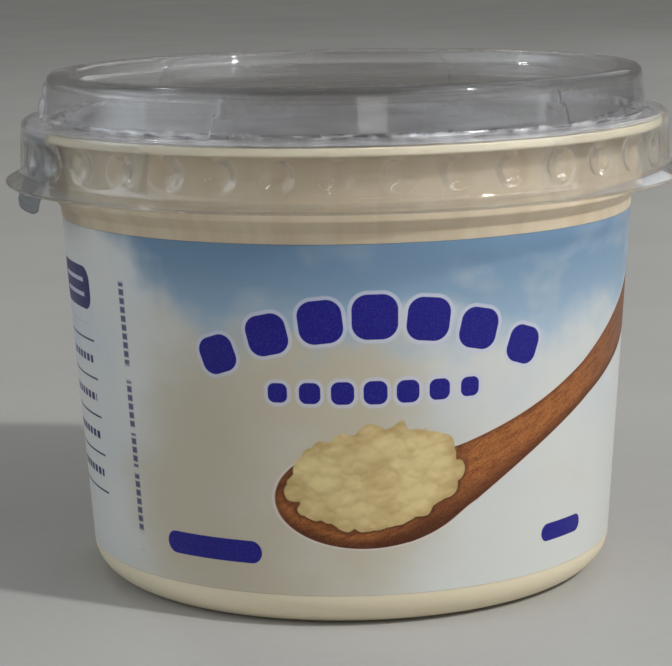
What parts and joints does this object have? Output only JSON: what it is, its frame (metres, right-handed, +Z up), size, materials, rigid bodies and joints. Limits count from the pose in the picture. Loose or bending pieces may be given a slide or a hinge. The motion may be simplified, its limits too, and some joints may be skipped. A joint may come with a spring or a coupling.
{
  "type": "sealed cottage cheese tub",
  "caption": "Small round tapered dairy tub with a wrap label, a crumpled foil seal with a pull tab and a clear press-on lid with a raised drum and a dimpled skirt.",
  "frame": {"origin": "centre of the base, on the surface the tub stands on", "axes": "+Z up along the tub's axis, the front of the label faces -Y, the foil's pull tab is on the -X side towards the front"},
  "size_m": [0.0928, 0.0928, 0.0687],
  "materials": {
    "tub_plastic": "cream-white moulded polypropylene, satin",
    "label_print": "printed in-mould film, sky blue fading to pale grey, satin",
    "seal_foil": "thin crumpled sealing foil, silver",
    "lid_plastic": "clear thermoformed sheet, glossy"
  },
  "bodies": {
    "root": {"tub": "tub_plastic", "label": "label_print", "seal": "seal_foil", "lid": "lid_plastic"}
  },
  "joints": []
}
